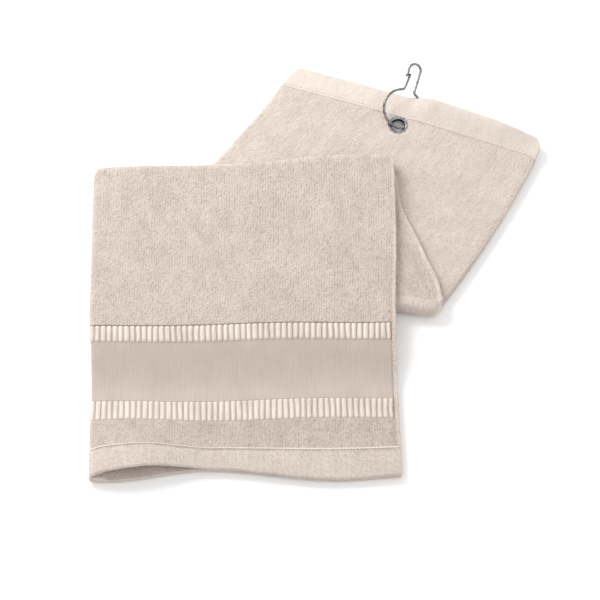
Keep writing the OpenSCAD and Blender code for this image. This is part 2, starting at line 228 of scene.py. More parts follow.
def cloth(x, v, w):
    """Puts cloth in place. x is the distance from the lengthwise fold, v the
    distance along the towel and w the height over the middle of the panel."""
    x, v, w = np.broadcast_arrays(x, v, w)
    out = np.zeros(x.shape + (3,))
    t = x / FOLDED_W

    # Where each fold's cylinder starts, for this x.
    fold_y = upper_mid[1] + (LEFT + x - upper_mid[0]) * upper_dir[1] / upper_dir[0]
    upper = np.stack([LEFT + x, fold_y], -1)
    crest = FOLD_EASE + (0.9 * np.sin(9.5 * t + 0.4) + 1.3 * ease((t - 0.55) / 0.3)) * MM
    upper = upper - (FOLD_IN - crest + round_end(x, 5 * MM, 6 * MM))[..., None] * upper_out
    lower = fold_left + t[..., None] * (fold_right - fold_left)
    lower = lower - (FOLD_IN + round_end(x, 5 * MM, 7 * MM))[..., None] * lower_out
    top = top_left + t[..., None] * (top_right - top_left)

    front = v <= FRONT_END
    upper_arc = (v > FRONT_END) & (v <= MIDDLE_START)
    middle = (v > MIDDLE_START) & (v <= MIDDLE_END)
    lower_arc = (v > MIDDLE_END) & (v <= BACK_START)
    back = v > BACK_START

    # Front panel: it stretches a little to meet the fold's slope.
    slope = upper[..., 1] - HEM_Y - FRONT_END
    y = v + slope * ease((v - BORDER_END) / (FRONT_END - BORDER_END))
    open_ = mouth(x, v)
    share = on_upper_layer(x, w)
    lift = open_ * MOUTH_H * share
    pull = open_ * MOUTH_BACK * share * (1 - ease(v / MOUTH_DEEP))
    hem_wave = (1 - ease(v / (24 * MM))) * hem_edge(x)
    in_border = ease((v - BOTTOM_HEM) / (15 * MM))
    in_border = in_border * ease((BORDER_END + 12 * MM - v) / (15 * MM))
    hem_wave = hem_wave + in_border * BORDER_WAVE * np.sin(46 * x + 0.35 + 18 * v)
    sink = BORDER_DIP * bump_at(v, 100 * MM, 24 * MM)
    side = (1 - t) * 1.1 * MM * np.sin(24 * v + 0.9) + t * 1.2 * MM * np.sin(21 * v + 3.6)
    side = side + 1.3 * MM * ease((v - BORDER_END) / (60 * MM))
    spread = (1 - ease(v / (150 * MM))) * (t - 0.5) * 3 * MM
    plan = np.stack([LEFT + x + side + spread, HEM_Y + y + pull + hem_wave - sink], -1)
    out[front, :2] = plan[front]
    out[front, 2] = (front_height(y) + w + lift)[front]
    fold_shift = np.stack([side, np.zeros_like(side)], -1)

    # Upper fold
    turn = (v - FRONT_END) / FOLD_R
    plan = upper + fold_shift + ((FOLD_R + w) * np.sin(turn))[..., None] * upper_out
    out[upper_arc, :2] = plan[upper_arc]
    out[upper_arc, 2] = (upper_z + (FOLD_R + w) * np.cos(turn))[upper_arc]

    # Middle panel, face down
    s = ((v - MIDDLE_START) / MIDDLE_LEN)[..., None]
    plan = upper + fold_shift * (1 - s) + s * (lower - upper)
    run = s[..., 0]
    plan[..., 0] += t ** 3 * (2 * bump_at(run, 0.85, 0.12) - 4 * bump_at(run, 0.3, 0.2)) * MM
    out[middle, :2] = plan[middle]
    out[middle, 2] = (upper_z - FOLD_R - w)[middle]

    # Lower fold
    turn = (v - MIDDLE_END) / FOLD_R
    plan = lower + ((FOLD_R - w) * np.sin(turn))[..., None] * lower_out
    out[lower_arc, :2] = plan[lower_arc]
    out[lower_arc, 2] = (lower_z + (FOLD_R - w) * np.cos(turn))[lower_arc]

    # Back panel: its hem is drawn in, so that its corners are rounded.
    s = ((v - BACK_START) / BACK_LEN)[..., None]
    plan = lower + s * (top - lower)
    along = (top - lower) / np.linalg.norm(top - lower, axis=-1)[..., None]
    draw = round_end(x, 6 * MM, 10 * MM) * ease((v - TOWEL_LEN + 30 * MM) / (30 * MM))
    rise = hem_rise(t, v)
    edge = ease((v - TOWEL_LEN + 70 * MM) / (70 * MM))
    bulge = HEM_BULGE * edge * (np.sin(math.pi * np.clip(t, 0, 1) ** 1.25) + 0.9 * t ** 6)
    bulge = bulge + 3 * MM * edge
    plan = plan + (bulge - draw)[..., None] * along
    run = np.clip(s[..., 0], 0, 1)
    plan[..., 0] += BACK_BOW * t ** 3 * np.sin(math.pi * run) ** 0.8
    past_hem = ease((TOWEL_LEN - v) / (50 * MM))
    plan[..., 0] += (1 - t) ** 2 * (LEFT_IN + LEFT_IN_LOWER * past_hem) * ease(run / 0.3)
    out[back, :2] = plan[back]
    out[back, 2] = (PANEL / 2 + w + HEM_LIFT * rise)[back]

    out[..., 2] += waves(out[..., 0], out[..., 1])
    return out


# --- Cloth pieces ------------------------------------------------------------

BEND_L = math.pi * HALF_GAP
BEND_X = HALF_GAP + LAYER / 2


def across(s):
    """Layers' middle line round the lengthwise fold, and the direction out of it.
    s runs from the free edge below, round the fold, to the free edge on top."""
    turn = np.clip(s / HALF_GAP, -math.pi / 2, math.pi / 2)
    run = np.maximum(np.abs(s) - BEND_L / 2, 0)
    x = BEND_X - HALF_GAP * np.cos(turn) + run
    return x, HALF_GAP * np.sin(turn), -np.cos(turn) * (run == 0), np.sin(turn)


def free_s(x):
    """The value of s at which the top layer is at a distance x from the fold."""
    return x - BEND_X + BEND_L / 2


def steps(start, end, size):
    return np.linspace(start, end, max(2, int(round((end - start) / size)) + 1))


def rows_between(start, end, size, tip=0.0):
    """Rows along the towel, closer together at the folds and at a rounded tip."""
    cuts = sorted({start, end} | {c for c in (
        FRONT_END, MIDDLE_START, MIDDLE_END, BACK_START) if start < c < end})
    rows = []
    for a, b in zip(cuts, cuts[1:]):
        on_fold = (FRONT_END - 1e-9 <= a and b <= MIDDLE_START + 1e-9) or (
            MIDDLE_END - 1e-9 <= a and b <= BACK_START + 1e-9)
        rows.append(steps(a, b, 0.5 * MM if on_fold else size)[:-1])
    rows = np.concatenate(rows + [[end]])
    if tip:
        near = start + tip * (1 - np.cos(np.linspace(0, math.pi / 2, 6)))
        far = end - tip * (1 - np.cos(np.linspace(0, math.pi / 2, 6)))
        inner = rows[(rows > start + tip * 1.3) & (rows < end - tip * 1.3)]
        rows = np.concatenate([near, inner, far[::-1]])
    return rows


def tip_share(v, start, end, tip_start, tip_end, least=0.04):
    """Share of the full thickness at v, so that an end is rounded over its tip."""
    share = np.ones_like(v)
    for tip, away in ((tip_start, v - start), (tip_end, end - v)):
        if tip:
            share *= np.sqrt(np.clip(1 - (1 - np.clip(away / tip, 0, 1)) ** 2, 0, 1))
    return least + (1 - least) * share


def keep_values(mesh, name, values):
    """Gives each point of a mesh a value under a name."""
    kept = mesh.attributes.new(name, "FLOAT", "POINT")
    kept.data.foreach_set("value", values.astype(np.float32))


def shell(name, s, v, outer, inner, rise=None):
    """A closed piece of cloth between two surfaces over the grid of s and v.
    outer and inner are the surfaces' distances from the layer's middle. rise
    is a value from 0 to 1 over the outer surface, which its material reads."""
    S, V = np.meshgrid(s, v)
    x, w, nx, nw = across(S)
    top = cloth(x + nx * outer, V, w + nw * outer)
    low = cloth(x - nx * inner, V, w - nw * inner)
    # Rounded edges along both sides of the grid.
    caps = []
    for column, sign in ((-1, 1), (0, -1)):
        cap = []
        for turn in np.linspace(0, math.pi, 7)[1:-1]:
            o = np.broadcast_to(outer, S.shape)[:, column]
            i = np.broadcast_to(inner, S.shape)[:, column]
            mid, half = (o - i) / 2, (o + i) / 2
            offset = mid + half * math.cos(turn)
            reach = half * math.sin(turn)
            height = w[:, column] + nw[:, column] * offset
            cap.append(cloth(x[:, column] + reach, V[:, column], height))
        caps.append(cap if sign > 0 else cap[::-1])
    loop = np.concatenate(
        [top, np.stack(caps[0], 1), low[:, ::-1], np.stack(caps[1], 1)], axis=1)
    # Each row of points is one loop: n on top, k round an edge, n below, k more.
    count = loop.shape[1]
    m, n, k = len(v), len(s), len(caps[0])
    points = loop.reshape(-1, 3)
    u_loop = np.concatenate([s, np.full(k, s[-1]), s[::-1], np.full(k, s[0])])
    faces = []
    for j in range(m - 1):
        a, b = j * count, (j + 1) * count
        for i in range(count):
            nxt = (i + 1) % count
            faces.append((a + i, a + nxt, b + nxt, b + i))
    # The two ends are closed with strips between the top and the bottom.
    for j, flip in ((0, True), (m - 1, False)):
        base = j * count
        for i in range(n - 1):
            a, b = base + i, base + i + 1
            c, d = base + n + k + (n - 2 - i), base + n + k + (n - 1 - i)
            faces.append((d, c, b, a) if flip else (a, b, c, d))
        for first, last, start in ((n - 1, n + k, n), (2 * n + k - 1, 0, 2 * n + k)):
            ring = [base + first] + [base + start + q for q in range(k)] + [base + last]
            faces.append(tuple(ring[::-1] if flip else ring))
    mesh = bpy.data.meshes.new(name)
    mesh.from_pydata(points.tolist(), [], faces)
    mesh.update()
    piece = bpy.data.objects.new(name, mesh)
    bpy.context.collection.objects.link(piece)
    uv = mesh.uv_layers.new(name="cloth")
    where = np.empty(len(mesh.loops), np.int32)
    mesh.loops.foreach_get("vertex_index", where)
    row, col = where // count, where % count
    uv.data.foreach_set("uv", np.stack([u_loop[col], v[row]], 1).astype(np.float32).ravel())
    keep_values(mesh, "along", np.repeat(v, count))
    if rise is not None:
        share = np.zeros((m, count), np.float32)
        share[:, :n] = rise
        keep_values(mesh, "rib_rise", share.ravel())
    finish_mesh(piece)
    return piece


def select_only(*pieces):
    bpy.ops.object.select_all(action="DESELECT")
    for piece in pieces:
        piece.select_set(True)
    bpy.context.view_layer.objects.active = pieces[0]


def finish_mesh(piece, angle=60):
    """Faces point outwards and are smooth, except at sharp edges."""
    select_only(piece)
    bpy.ops.object.mode_set(mode="EDIT")
    bpy.ops.mesh.select_all(action="SELECT")
    bpy.ops.mesh.normals_make_consistent(inside=False)
    bpy.ops.object.mode_set(mode="OBJECT")
    bpy.ops.object.shade_smooth_by_angle(angle=math.radians(angle))
    piece.select_set(False)


def lumps(S, V, size, seed):
    """Uneven pile, as a height from -1 to 1 over the grid of s and v."""
    out = np.empty(S.shape)
    for index in np.ndindex(S.shape):
        out[index] = noise.noise(Vector((S[index] / size, V[index] / size, seed)))
    return out


# How far cloth runs on below the side hem, and how much thinner each layer is
# on the inside than its share of the panel.
UNDER_HEM = 0.3 * MM
INSIDE_ROOM = 0.05 * MM
# Spacing of points round the lengthwise fold and over the pile.
BEND_STEP = 0.45 * MM
PILE_STEP = 1.9 * MM
# Height of the pile from its layer's middle, and the share of it that is left
# where a stretch of pile ends.
PILE_H = LAYER / 2
PILE_TIP = 0.8


def pile_piece(name, start, end, tips, seed):
    """Both layers of a stretch of pile, from the side hem round to the side hem."""
    edge = free_s(FOLDED_W - SIDE_HEM + UNDER_HEM)
    bend = steps(-BEND_L, BEND_L, BEND_STEP)
    flat = steps(BEND_L, edge, PILE_STEP)[1:]
    s = np.concatenate([-flat[::-1], bend, flat])
    v = rows_between(start, end, PILE_STEP)
    for tip, at, sign in ((tips[0], start, 1), (tips[1], end, -1)):
        if tip:
            extra = at + sign * tip * np.array([0.03, 0.1, 0.25, 0.5, 0.75, 1.0])
            v = np.unique(np.concatenate([v, extra]))
    S, V = np.meshgrid(s, v)
    share = tip_share(V, start, end, tips[0], tips[1], PILE_TIP)
    rough = lumps(S, V, 5 * MM, seed) * 0.16 * MM
    rough = rough + lumps(S, V, 2.3 * MM, seed + 7) * 0.1 * MM
    # The inner face stays level, because there is little room between the layers.
    return shell(name, s, v, (PILE_H + rough) * share, (PILE_H - INSIDE_ROOM) * share)


towel_back = pile_piece("towel_back", SEAM, TOWEL_LEN - TOP_HEM, (0, 0.8 * MM), 1.0)
towel_front = pile_piece("towel_front", BORDER_END, SEAM, (1.1 * MM, 0), 2.0)
pile_strip = pile_piece(
    "pile_strip", BOTTOM_HEM - 0.8 * MM, BOTTOM_HEM + STRIP, (0, 1.1 * MM), 3.0)


# How far a piece of the border runs on below its neighbours.
TUCK = 0.7 * MM
# Height of a rib over its ground, and the length over which each end of it falls.
RIB_H = 1.15 * MM
RIB_END = 0.7 * MM


def ground_piece(name, start, end, outer, step_s, step_v, ribs=0.0):
    """A stretch of flat weave that lies lower than the pile, plain or with ribs."""
    edge = free_s(FOLDED_W - SIDE_HEM + UNDER_HEM)
    s = steps(-edge, edge, step_s)
    v = rows_between(start, end, step_v)
    S, V = np.meshgrid(s, v)
    height = np.full(S.shape, outer)
    rise = None
    if ribs:
        up_rib = (V - (start + end) / 2) / (end - start)
        sway = lumps(S, V * 0, 9 * MM, 21.0) * 0.22 * up_rib
        turns = S / RIB_PITCH + 0.25 + sway + 0.1 * lumps(S, V, 12 * MM, 31.0)
        phase = turns % 1 - 0.5
        lean = lumps(np.floor(turns) * 0.73, V * 0, 1.0, 5.0)
        half = RIB_W / RIB_PITCH / 2 * (1 + 0.25 * lean)
        body = np.sqrt(np.clip(1 - (phase / half) ** 2, 0, 1))
        ends = TUCK + 0.3 * MM * (1 + 1.5 * lean)
        near = np.clip((V - start - ends) / RIB_END, 0, 1)
        far = np.clip((end - V - ends) / RIB_END, 0, 1)
        twist = 0.08 * MM * np.sin(2 * math.pi * (V / (1.1 * MM) + phase))
        rise = body * np.sqrt(near * far)
        height = height + (ribs + twist) * rise
    rough = lumps(S, V, 1.6 * MM, 9.0) * 0.04 * MM
    inner = np.full(S.shape, LAYER / 2 - INSIDE_ROOM)
    return shell(name, s, v, height + rough, inner, rise)


GROUND = LAYER / 2 - 1.1 * MM
LOWER_RIBS_AT = BOTTOM_HEM + STRIP
lower_ribs = ground_piece(
    "lower_ribs", LOWER_RIBS_AT - TUCK, LOWER_RIBS_AT + LOWER_ROW + TUCK, GROUND,
    0.5 * MM, 0.7 * MM, RIB_H)
upper_ribs = ground_piece(
    "upper_ribs", BORDER_END - UPPER_ROW - TUCK, BORDER_END + TUCK, GROUND,
    0.5 * MM, 0.7 * MM, RIB_H)
smooth_band = ground_piece(
    "smooth_band", LOWER_RIBS_AT + LOWER_ROW, BORDER_END - UPPER_ROW, GROUND + 0.2 * MM,
    1.6 * MM, 1.5 * MM)


# Height of a hem from its layer's middle, and the lengths over which it is
# rounded where the cloth turns back and where it is sewn down.
HEM_H = LAYER / 2
HEM_TIP = 1.3 * MM
SEWN_TIP = 0.7 * MM
# How far the welt lies in from the bottom hem's sewn edge.
WELT_IN = 1.1 * MM


def hem_piece(name, start, end, tips, welted, seed):
    """Turned hem over both layers, rounded where the cloth turns back. A welted
    hem has a raised line where it is sewn, and a plain one only a groove."""
    edge = free_s(FOLDED_W - HEM_H)
    bend = steps(-BEND_L, BEND_L, BEND_STEP)
    flat = steps(BEND_L, edge, 1.6 * MM)[1:]
    s = np.concatenate([-flat[::-1], bend, flat])
    v = rows_between(start, end, 1.2 * MM)
    for tip, at, sign in ((tips[0], start, 1), (tips[1], end, -1)):
        if tip:
            extra = at + sign * tip * np.array([0.02, 0.08, 0.2, 0.4, 0.65, 1.0])
            v = np.unique(np.concatenate([v, extra]))
    S, V = np.meshgrid(s, v)
    share = tip_share(V, start, end, tips[0], tips[1])
    sewn = end - 2.6 * MM if welted else start + 2.2 * MM
    groove = np.exp(-((V - sewn) / (0.5 * MM)) ** 2)
    welt = np.exp(-((V - end + WELT_IN) / (0.8 * MM)) ** 2) * welted
    puffy = np.sin(math.pi * np.clip((V - start) / (end - start), 0, 1)) ** 0.5
    rough = lumps(S, V, 3.5 * MM, seed) * 0.14 * MM
    rough = rough + lumps(S, V * 0.6, 7 * MM, seed + 3) * 0.14 * MM
    height = HEM_H + 0.12 * MM * puffy + rough - 0.3 * MM * groove + 0.45 * MM * welt
    return shell(name, s, v, height * share, (HEM_H - 0.08 * MM) * share)


bottom_hem = hem_piece("bottom_hem", 0, BOTTOM_HEM, (HEM_TIP, SEWN_TIP), True, 4.0)
top_hem = hem_piece(
    "top_hem", TOWEL_LEN - TOP_HEM, TOWEL_LEN, (SEWN_TIP, HEM_TIP), False, 6.0)


def edge_piece(name, start, end):
    """The two side hems of a stretch of towel, one on each layer's free edge."""
    halves = []
    for layer in (1, -1):
        v = rows_between(start, end, 2 * MM)
        inmost = free_s(FOLDED_W - SIDE_HEM)
        s = np.sort(steps(inmost, free_s(FOLDED_W - LAYER / 2), BEND_STEP) * layer)
        S, V = np.meshgrid(s, v)
        far = np.abs(S) - inmost
        rough = lumps(S, V, 3 * MM, 11.0 + layer) * 0.12 * MM
        groove = np.exp(-((far - 0.9 * MM) / (0.4 * MM)) ** 2) * 0.3 * MM
        halves.append(shell(f"{name}_{layer}", s, v, LAYER / 2 + rough - groove,
                            np.full(S.shape, LAYER / 2 - INSIDE_ROOM)))
    select_only(*halves)
    bpy.ops.object.join()
    piece = bpy.context.object
    piece.name = name
    piece.select_set(False)
    return piece


side_hem_back = edge_piece("side_hem_back", SEAM, TOWEL_LEN - TOP_HEM)
side_hem_front = edge_piece("side_hem_front", BORDER_END, SEAM)
side_hem_border = edge_piece("side_hem_border", BOTTOM_HEM, BORDER_END)


STITCH_L = 2.1 * MM
STITCH_PITCH = 3 * MM
STITCH_W = 0.75 * MM
STITCH_H = 0.3 * MM
# One stitch: where its four outlines lie along it and their size there, and the
# six corners of an outline, as shares of half the width and of the height.
STITCH_ALONG = ((-1, 0.3), (-0.6, 1), (0.6, 1), (1, 0.3))
STITCH_ROUND = ((-1, -1.2), (1, -1.2), (1, 0.2), (0.4, 1), (-0.4, 1), (-1, 0.2))


def stitch_rows(name, rows):
    """Short raised stitches. Each row is one stitch, (x, v, lengthwise, height): its
    place on the cloth, whether it runs along the towel or across it, and its
    height over the middle of the panel."""
    points, faces, along = [], [], []
    for x, v, lengthwise, height in rows:
        base = len(points)
        for share, size in STITCH_ALONG:
            for side, up in STITCH_ROUND:
                run, width = share * STITCH_L / 2, side * size * STITCH_W / 2
                dx, dv = (width, run) if lengthwise else (run, width)
                rise = height + up * size * STITCH_H
                at = cloth(np.array([x + dx]), np.array([v + dv]), np.array([rise]))
                points.append(tuple(at[0]))
                along.append(v + dv)
        for ring in range(3):
            for k in range(6):
                a, b = base + ring * 6 + k, base + ring * 6 + (k + 1) % 6
                faces.append((a, b, b + 6, a + 6))
        faces.append(tuple(base + k for k in range(6))[::-1])
        faces.append(tuple(base + 18 + k for k in range(6)))
    mesh = bpy.data.meshes.new(name)
    mesh.from_pydata(points, [], faces)
    mesh.update()
    piece = bpy.data.objects.new(name, mesh)
    bpy.context.collection.objects.link(piece)
    keep_values(mesh, "along", np.array(along))
    uv = mesh.uv_layers.new(name="cloth")
    where = np.empty(len(mesh.loops), np.int32)
    mesh.loops.foreach_get("vertex_index", where)
    flat = np.array(points)[:, :2]
    uv.data.foreach_set("uv", flat[where].astype(np.float32).ravel())
    finish_mesh(piece)
    return piece


ON_TOP = PANEL / 2 + 0.05 * MM
# Stitches stop this far from a fold and from a corner.
NO_STITCH = 2 * MM


def along_rows(start, end):
    """Stitches that run along the towel, down its side hem."""
    return [(FOLDED_W - SIDE_HEM + 0.8 * MM, v, True, ON_TOP - 0.25 * MM)
            for v in np.arange(start + STITCH_PITCH / 2, end - STITCH_PITCH / 2, STITCH_PITCH)]


def across_rows(v, height, pitch=STITCH_PITCH):
    return [(x, v, False, height)
            for x in np.arange(NO_STITCH, FOLDED_W - NO_STITCH, pitch)]


side_stitches_back = stitch_rows(
    "side_stitches_back", along_rows(BACK_START + NO_STITCH, TOWEL_LEN - TOP_HEM))
side_stitches_front = stitch_rows(
    "side_stitches_front", along_rows(BORDER_END, FRONT_END - NO_STITCH))
side_stitches_border = stitch_rows(
    "side_stitches_border", along_rows(BOTTOM_HEM, BORDER_END))
bottom_hem_stitches = stitch_rows(
    "bottom_hem_stitches", across_rows(BOTTOM_HEM - WELT_IN, ON_TOP + 0.55 * MM, 2.2 * MM))
top_hem_stitches = stitch_rows(
    "top_hem_stitches", across_rows(TOWEL_LEN - TOP_HEM + 2.2 * MM, ON_TOP - 0.2 * MM))


# --- Materials ---------------------------------------------------------------

def new_group(name, inputs, outputs):
    group = bpy.data.node_groups.new(name, "ShaderNodeTree")
    for label, kind, value in inputs:
        socket = group.interface.new_socket(label, in_out="INPUT", socket_type=kind)
        if value is not None:
            socket.default_value = value
    for label, kind in outputs:
        group.interface.new_socket(label, in_out="OUTPUT", socket_type=kind)
    return group, group.nodes.new("NodeGroupInput"), group.nodes.new("NodeGroupOutput")


class Tree:
    """Short calls for adding and joining nodes in one node tree."""

    def __init__(self, tree):
        self.tree = tree

    def node(self, kind, **settings):
        made = self.tree.nodes.new(kind)
        for key, value in settings.items():
            setattr(made, key, value)
        return made

    def feed(self, socket, value):
        if hasattr(value, "links") or hasattr(value, "is_linked"):
            self.tree.links.new(value, socket)
        elif value is not None:
            socket.default_value = value

    def math(self, operation, a, b=None, c=None, clamp=False):
        made = self.node("ShaderNodeMath", operation=operation, use_clamp=clamp)
        for socket, value in zip(made.inputs, (a, b, c)):
            self.feed(socket, value)
        return made.outputs[0]

    def mix(self, share, a, b):
        made = self.node("ShaderNodeMix", data_type="RGBA")
        self.feed(made.inputs["Factor"], share)
        self.feed(made.inputs[6], a)
        self.feed(made.inputs[7], b)
        return made.outputs[2]

    def spread(self, value, low, high, to_low=0.0, to_high=1.0):
        made = self.node("ShaderNodeMapRange", interpolation_type="SMOOTHSTEP")
        for socket, number in zip(made.inputs, (value, low, high, to_low, to_high)):
            self.feed(socket, number)
        return made.outputs[0]

    def scaled(self, vector, scale):
        made = self.node("ShaderNodeMapping")
        self.feed(made.inputs["Vector"], vector)
        made.inputs["Scale"].default_value = scale
        return made.outputs[0]

    def noise(self, vector, scale, detail=2.0, rough=0.5):
        made = self.node("ShaderNodeTexNoise")
        self.feed(made.inputs["Vector"], vector)
        self.feed(made.inputs["Scale"], scale)
        made.inputs["Detail"].default_value = detail
        made.inputs["Roughness"].default_value = rough
        return made.outputs["Fac"]

    def cells(self, vector, scale):
        made = self.node("ShaderNodeTexVoronoi")
        self.feed(made.inputs["Vector"], vector)
        self.feed(made.inputs["Scale"], scale)
        return made.outputs["Distance"]

    def sine(self, vector, axis, per_metre):
        """A wave from 0 to 1 along one axis of a vector."""
        parts = self.node("ShaderNodeSeparateXYZ")
        self.feed(parts.inputs[0], vector)
        turn = self.math("MULTIPLY", parts.outputs[axis], per_metre * 2 * math.pi)
        return self.math("MULTIPLY_ADD", self.math("SINE", turn), 0.5, 0.5)

    def wander(self, vector, scale, most):
        """The vector, moved a little by slow noise."""
        made = self.node("ShaderNodeVectorMath", operation="MULTIPLY_ADD")
        self.feed(made.inputs[0], self.noise(vector, scale, 2.0))
        made.inputs[1].default_value = most
        self.feed(made.inputs[2], vector)
        return made.outputs[0]

    def shared(self, group, vector, **values):
        """A shared node group, given a vector and its own values."""
        made = self.node("ShaderNodeGroup", node_tree=group)
        self.feed(made.inputs["Vector"], vector)
        for label, value in values.items():
            made.inputs[label].default_value = value
        return made.outputs


# Columns of pile, and threads of flat weave, per metre of cloth.
COLUMNS_PER_M = 590.0
WARP_PER_M = 1150.0
WEFT_PER_M = 820.0


def pile_group():
    """Cut pile: tufts in columns along the warp, with painted shade in the gaps between them."""
    group, into, out = new_group(
        "pile",
        [("Vector", "NodeSocketVector", None), ("Tufts", "NodeSocketFloat", 900.0),
         ("Columns", "NodeSocketFloat", 0.5)],
        [("Height", "NodeSocketFloat"), ("Gaps", "NodeSocketFloat"),
         ("Mottle", "NodeSocketFloat")])
    t = Tree(group)
    where = t.wander(into.outputs["Vector"], 70.0, (1.6 * MM, 1 * MM, 0))
    tufts = t.cells(t.scaled(where, (1.1, 0.75, 1.0)), into.outputs["Tufts"])
    fibre = t.noise(t.scaled(where, (1.5, 0.9, 1.0)), 1300.0, 3.0, 0.65)
    column = t.sine(where, 0, COLUMNS_PER_M)
    tip = t.math("SUBTRACT", 1.0, tufts)
    height = t.math("MULTIPLY_ADD", fibre, 0.7, tip)
    raised = t.math("MULTIPLY", column, into.outputs["Columns"])
    t.feed(out.inputs["Height"], t.math("ADD", height, raised))
    # Gaps: painted shade where the tufts are low and between the columns, plus random darker
    # blots of tone.
    blot = t.noise(where, 330.0, 4.0, 0.65)
    between = t.math("MULTIPLY", t.math("SUBTRACT", 1.0, column), into.outputs["Columns"])
    between = t.math("MULTIPLY", between, 0.55)
    gaps = t.math("MULTIPLY_ADD", t.spread(tufts, 0.3, 0.8), 0.35, between)
    blots = t.math("MULTIPLY", t.spread(blot, 0.45, 0.72), 0.6)
    t.feed(out.inputs["Gaps"], t.math("ADD", gaps, blots, clamp=True))
    broad = t.noise(where, 38.0, 4.0, 0.6)
    patch = t.noise(t.scaled(where, (1.0, 0.5, 1.0)), 150.0, 3.0, 0.6)
    mottle = t.math("MULTIPLY_ADD", patch, 0.5, t.math("MULTIPLY", broad, 0.5))
    t.feed(out.inputs["Mottle"], mottle)
    return group


def weave_group():
    """Flat weave: warp threads over weft threads, of uneven thickness."""
    group, into, out = new_group(
        "weave",
        [("Vector", "NodeSocketVector", None), ("Slub", "NodeSocketFloat", 0.5)],
        [("Height", "NodeSocketFloat"), ("Shade", "NodeSocketFloat")])
    t = Tree(group)
    where = into.outputs["Vector"]
    moved = t.wander(where, 90.0, (0.6 * MM, 0.6 * MM, 0))
    warp = t.sine(moved, 0, WARP_PER_M)
    weft = t.sine(moved, 1, WEFT_PER_M)
    crossed = t.math("MULTIPLY", warp, t.math("MULTIPLY_ADD", weft, 0.6, 0.5))
    slub = t.noise(t.scaled(where, (1.0, 0.06, 1.0)), 800.0, 2.0, 0.6)
    t.feed(out.inputs["Height"], t.math("MULTIPLY_ADD", slub, into.outputs["Slub"], crossed))
    slow = t.noise(where, 55.0, 3.0, 0.6)
    shade = t.math("MULTIPLY_ADD", slow, 0.5, t.math("MULTIPLY", slub, 0.5))
    t.feed(out.inputs["Shade"], shade)
    return group


PILE = pile_group()
WEAVE = weave_group()


def base_material(name, roughness, sheen):
    made = bpy.data.materials.new(name)
    made.use_nodes = True
    made.node_tree.nodes.clear()
    t = Tree(made.node_tree)
    shader = t.node("ShaderNodeBsdfPrincipled")
    shader.inputs["Roughness"].default_value = roughness
    shader.inputs["Specular IOR Level"].default_value = 0.25
    shader.inputs["Sheen Weight"].default_value = sheen
    shader.inputs["Sheen Roughness"].default_value = 0.45
    out = t.node("ShaderNodeOutputMaterial")
    made.node_tree.links.new(shader.outputs[0], out.inputs["Surface"])
    return made, t, shader


def bump(t, shader, height, strength, distance):
    made = t.node("ShaderNodeBump")
    made.inputs["Strength"].default_value = strength
    made.inputs["Distance"].default_value = distance
    t.feed(made.inputs["Height"], height)
    t.feed(shader.inputs["Normal"], made.outputs[0])


def uv_vector(t):
    """The cloth's own pattern: x across the towel and y along it."""
    made = t.node("ShaderNodeUVMap")
    made.uv_map = "cloth"
    return made.outputs[0]


def terry(name, light, dark, tufts, columns, strength):
    """Cotton pile: light tuft tips, painted shade in the gaps, and slow random changes of tone.
    """
    made, t, shader = base_material(name, 0.95, 0.6)
    pile = t.shared(PILE, uv_vector(t), Tufts=tufts, Columns=columns)
    # The gaps' painted shade pulls the colour towards the dark colour.
    colour = t.mix(pile["Gaps"], (*light, 1), (*dark, 1))
    shade = t.spread(pile["Mottle"], 0.3, 0.7)
    paler = tuple(min(1.0, c * 1.05) for c in light)
    deeper = tuple(c * 0.93 for c in dark)
    tone = t.mix(shade, (*deeper, 1), (*paler, 1))
    colour = t.mix(0.38, colour, tone)
    t.feed(shader.inputs["Base Color"], colour)
    bump(t, shader, pile["Height"], strength, 0.7 * MM)
    return made


def woven(name, light, dark, slub, strength, distance=0.3 * MM, flecks=0.0):
    """Flat cotton weave with uneven threads. Flecks are slanting darker dips."""
    made, t, shader = base_material(name, 0.8, 0.15)
    where = uv_vector(t)
    weave = t.shared(WEAVE, where, Slub=slub)
    shade = t.spread(weave["Shade"], 0.3, 0.7)
    colour = t.mix(shade, (*dark, 1), (*light, 1))
    height = weave["Height"]
    if flecks:
        turned = t.node("ShaderNodeMapping", vector_type="TEXTURE")
        t.feed(turned.inputs["Vector"], where)
        turned.inputs["Rotation"].default_value = (0, 0, math.radians(-38))
        turned.inputs["Scale"].default_value = (1.9, 0.62, 1)
        fleck = t.noise(turned.outputs[0], 620.0, 2.0, 0.6)
        mask = t.spread(fleck, 0.45, 0.7)
        deep = tuple(c * 0.78 for c in dark)
        colour = t.mix(t.math("MULTIPLY", mask, flecks), colour, (*deep, 1))
        height = t.math("SUBTRACT", height, t.math("MULTIPLY", mask, 1.2))
    t.feed(shader.inputs["Base Color"], colour)
    bump(t, shader, height, strength, distance)
    return made


